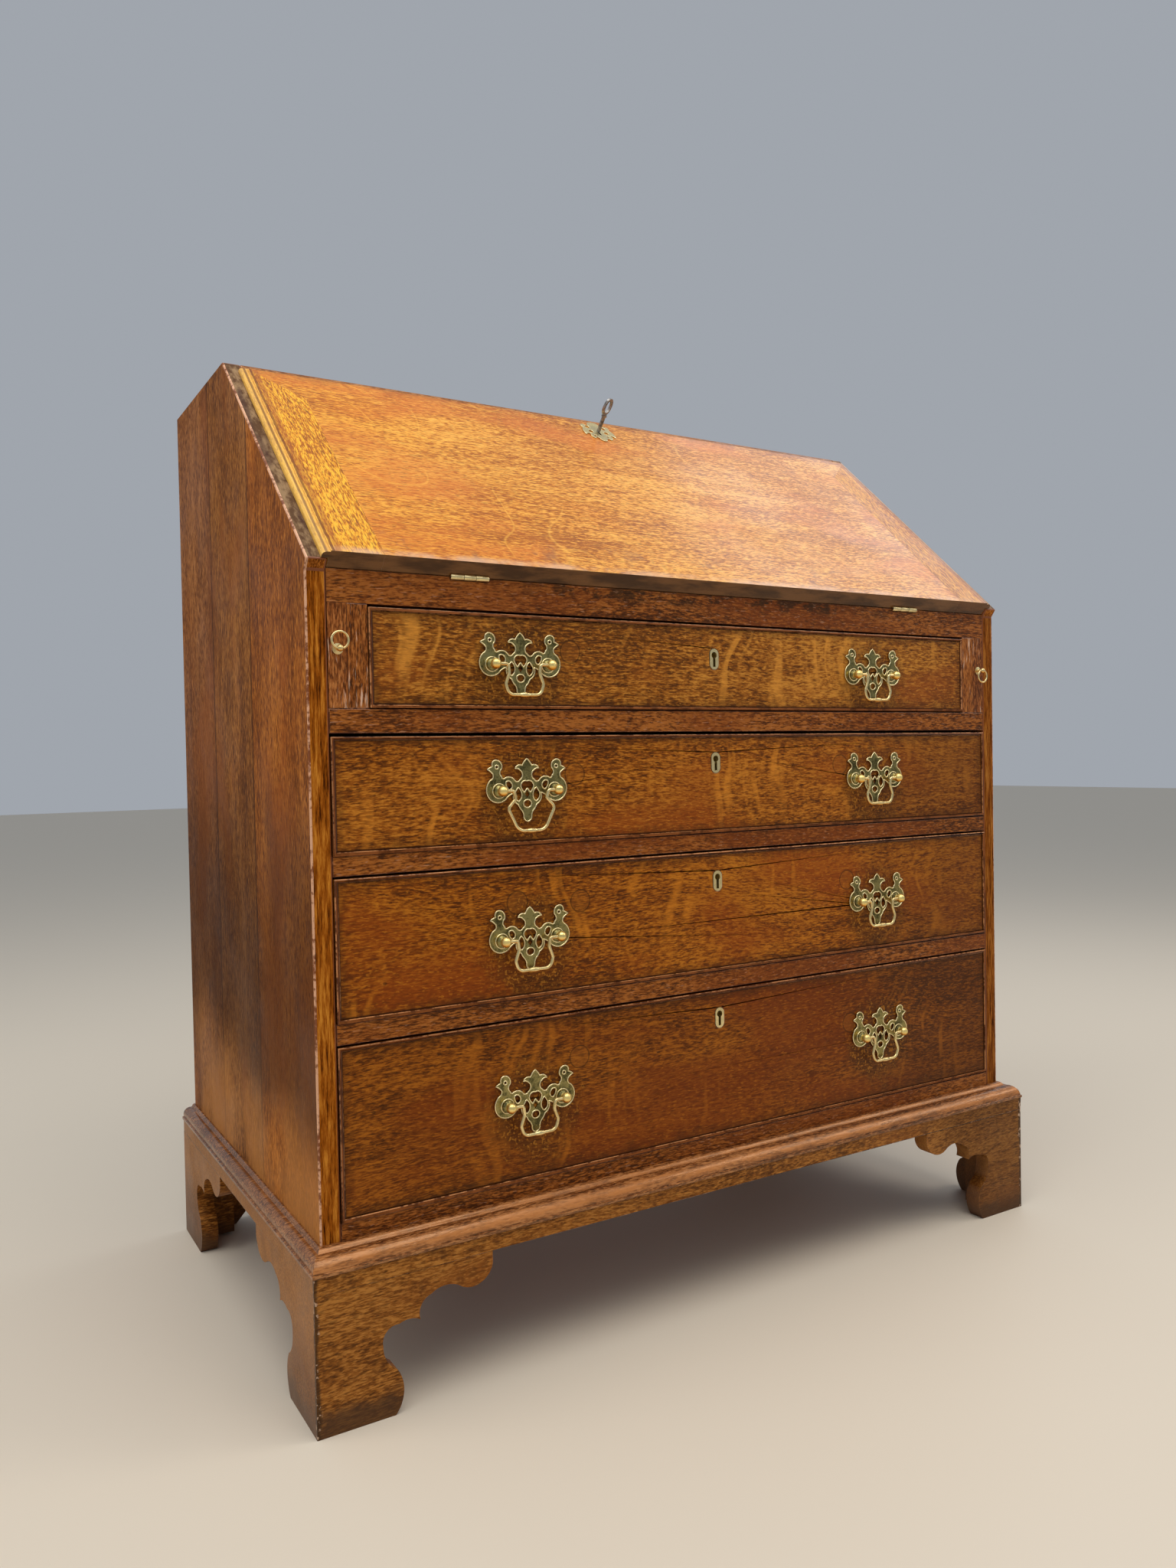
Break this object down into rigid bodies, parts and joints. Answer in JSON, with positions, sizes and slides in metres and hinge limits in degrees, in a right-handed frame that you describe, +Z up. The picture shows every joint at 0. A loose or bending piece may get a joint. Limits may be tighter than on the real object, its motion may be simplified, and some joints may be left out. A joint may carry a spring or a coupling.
{
  "type": "slant-front desk",
  "caption": "Oak slant-front bureau: sloping fall on hinges over graduated drawers, pull-out lopers, pierced brass handles, moulded plinth and bracket feet.",
  "frame": {"origin": "on the floor under the middle of the whole piece", "axes": "+X across to the right seen from the front, +Y towards the back, +Z up; the front faces -Y"},
  "size_m": [0.963, 0.5504, 1.0655],
  "materials": {
    "oak_side": "waxed oak, vertical grain",
    "oak_top": "waxed oak",
    "oak_rail": "dark waxed oak",
    "oak_inner": "plain oak",
    "back_wood": "unfinished boards",
    "oak_moulding": "polished moulding",
    "oak_plinth": "waxed oak",
    "oak_foot": "worn waxed oak",
    "small_drawer_oak": "waxed oak",
    "oak_fall": "honey oak, worn polish",
    "oak_clamp": "honey oak",
    "brass_escutcheon": "aged brass",
    "iron": "dull iron",
    "brass_hinge": "tarnished brass",
    "iron_key": "dark iron",
    "oak_loper": "reddish oak",
    "brass_ring": "worn brass",
    "oak_drawer": "quarter-sawn oak, waxed",
    "drawer_lining": "plain oak lining",
    "brass_lock": "aged brass",
    "brass_plate": "darkened brass, worn rims",
    "brass_bail": "worn brass"
  },
  "bodies": {
    "carcass": {"side_left": "oak_side", "side_right": "oak_side", "top_board": "oak_top", "top_rail": "oak_rail", "drawer_rails": "oak_rail", "loper_partitions": "oak_rail", "carcass_bottom": "oak_rail", "fall_stop_rail": "oak_inner", "writing_board": "oak_inner", "drawer_runners": "oak_inner", "back_boards": "back_wood", "base_moulding": "oak_moulding", "plinth_frame": "oak_plinth", "foot_front_left": "oak_foot", "foot_front_right": "oak_foot", "foot_rear_left": "oak_foot", "foot_rear_right": "oak_foot", "pigeonhole_case": "oak_inner", "hinge_lower_leaves": "brass_hinge"},
    "fall": {"fall_panel": "oak_fall", "fall_clamps": "oak_clamp", "fall_escutcheon": "brass_escutcheon", "fall_lock_case": "iron", "hinge_upper_leaves": "brass_hinge"},
    "lock_bolt": {"fall_lock_bolt": "iron"},
    "key": {"key": "iron_key"},
    "loper_left": {"loper_left": "oak_loper", "loper_pull_left": "brass_ring"},
    "loper_right": {"loper_right": "oak_loper", "loper_pull_right": "brass_ring"},
    "ring_left": {"loper_ring_left": "brass_ring"},
    "ring_right": {"loper_ring_right": "brass_ring"},
    "drawer_1": {"drawer_1_front": "oak_drawer", "drawer_1_box": "drawer_lining", "drawer_1_lock": "brass_lock", "drawer_1_handle_mounts": "brass_plate"},
    "bail_1_left": {"drawer_1_bail_left": "brass_bail"},
    "bail_1_right": {"drawer_1_bail_right": "brass_bail"},
    "small_drawer_1": {"small_drawer_1": "small_drawer_oak"},
    "drawer_2": {"drawer_2_front": "oak_drawer", "drawer_2_box": "drawer_lining", "drawer_2_lock": "brass_lock", "drawer_2_handle_mounts": "brass_plate"},
    "bail_2_left": {"drawer_2_bail_left": "brass_bail"},
    "bail_2_right": {"drawer_2_bail_right": "brass_bail"},
    "small_drawer_2": {"small_drawer_2": "small_drawer_oak"},
    "drawer_3": {"drawer_3_front": "oak_drawer", "drawer_3_box": "drawer_lining", "drawer_3_lock": "brass_lock", "drawer_3_handle_mounts": "brass_plate"},
    "bail_3_left": {"drawer_3_bail_left": "brass_bail"},
    "bail_3_right": {"drawer_3_bail_right": "brass_bail"},
    "small_drawer_3": {"small_drawer_3": "small_drawer_oak"},
    "drawer_4": {"drawer_4_front": "oak_drawer", "drawer_4_box": "drawer_lining", "drawer_4_lock": "brass_lock", "drawer_4_handle_mounts": "brass_plate"},
    "bail_4_left": {"drawer_4_bail_left": "brass_bail"},
    "bail_4_right": {"drawer_4_bail_right": "brass_bail"},
    "small_drawer_4": {"small_drawer_4": "small_drawer_oak"}
  },
  "joints": [
    {"name": "fall_swing", "type": "hinge", "parent": "carcass", "child": "fall", "pos_m": [0, -0.24775, 0.788], "axis": [1, 0, 0], "range_deg": [0, 139.8]},
    {"name": "key_turn", "type": "hinge", "parent": "fall", "child": "key", "pos_m": [0, 0.00185, 1.01591], "axis": [0, -0.6743, 0.7385], "range_deg": [0, 120]},
    {"name": "lock_bolt_throw", "type": "slide", "parent": "fall", "child": "lock_bolt", "axis": [0, 0.7385, 0.6743], "range_m": [0, 0.008]},
    {"name": "loper_left_slide", "type": "slide", "parent": "carcass", "child": "loper_left", "axis": [0, -1, 0], "range_m": [0, 0.3]},
    {"name": "loper_right_slide", "type": "slide", "parent": "carcass", "child": "loper_right", "axis": [0, -1, 0], "range_m": [0, 0.3]},
    {"name": "ring_left_swing", "type": "hinge", "parent": "loper_left", "child": "ring_left", "pos_m": [-0.4355, -0.25575, 0.714], "axis": [1, 0, 0], "range_deg": [0, 180]},
    {"name": "ring_right_swing", "type": "hinge", "parent": "loper_right", "child": "ring_right", "pos_m": [0.4355, -0.25575, 0.714], "axis": [-1, 0, 0], "range_deg": [-10, 170]},
    {"name": "drawer_1_slide", "type": "slide", "parent": "carcass", "child": "drawer_1", "axis": [0, -1, 0], "range_m": [0, 0.38]},
    {"name": "bail_1_left_swing", "type": "hinge", "parent": "drawer_1", "child": "bail_1_left", "pos_m": [-0.246, -0.25775, 0.704], "axis": [-1, 0, 0], "range_deg": [-8, 100]},
    {"name": "bail_1_right_swing", "type": "hinge", "parent": "drawer_1", "child": "bail_1_right", "pos_m": [0.243, -0.25775, 0.704], "axis": [-1, 0, 0], "range_deg": [-8, 100]},
    {"name": "drawer_2_slide", "type": "slide", "parent": "carcass", "child": "drawer_2", "axis": [0, -1, 0], "range_m": [0, 0.38]},
    {"name": "bail_2_left_swing", "type": "hinge", "parent": "drawer_2", "child": "bail_2_left", "pos_m": [-0.241, -0.25775, 0.5775], "axis": [-1, 0, 0], "range_deg": [-8, 100]},
    {"name": "bail_2_right_swing", "type": "hinge", "parent": "drawer_2", "child": "bail_2_right", "pos_m": [0.2445, -0.25775, 0.5775], "axis": [-1, 0, 0], "range_deg": [-8, 100]},
    {"name": "drawer_3_slide", "type": "slide", "parent": "carcass", "child": "drawer_3", "axis": [0, -1, 0], "range_m": [0, 0.38]},
    {"name": "bail_3_left_swing", "type": "hinge", "parent": "drawer_3", "child": "bail_3_left", "pos_m": [-0.241, -0.25775, 0.427], "axis": [-1, 0, 0], "range_deg": [-8, 100]},
    {"name": "bail_3_right_swing", "type": "hinge", "parent": "drawer_3", "child": "bail_3_right", "pos_m": [0.246, -0.25775, 0.427], "axis": [-1, 0, 0], "range_deg": [-8, 100]},
    {"name": "drawer_4_slide", "type": "slide", "parent": "carcass", "child": "drawer_4", "axis": [0, -1, 0], "range_m": [0, 0.38]},
    {"name": "bail_4_left_swing", "type": "hinge", "parent": "drawer_4", "child": "bail_4_left", "pos_m": [-0.2385, -0.25775, 0.26], "axis": [-1, 0, 0], "range_deg": [-8, 100]},
    {"name": "bail_4_right_swing", "type": "hinge", "parent": "drawer_4", "child": "bail_4_right", "pos_m": [0.2485, -0.25775, 0.26], "axis": [-1, 0, 0], "range_deg": [-8, 100]},
    {"name": "small_drawer_1_slide", "type": "slide", "parent": "carcass", "child": "small_drawer_1", "axis": [0, -1, 0], "range_m": [0, 0.15]},
    {"name": "small_drawer_2_slide", "type": "slide", "parent": "carcass", "child": "small_drawer_2", "axis": [0, -1, 0], "range_m": [0, 0.15]},
    {"name": "small_drawer_3_slide", "type": "slide", "parent": "carcass", "child": "small_drawer_3", "axis": [0, -1, 0], "range_m": [0, 0.15]},
    {"name": "small_drawer_4_slide", "type": "slide", "parent": "carcass", "child": "small_drawer_4", "axis": [0, -1, 0], "range_m": [0, 0.15]}
  ],
  "couplings": [
    {"joint": "lock_bolt_throw", "follows": "key_turn", "m_per_rad": 0.0038}
  ]
}
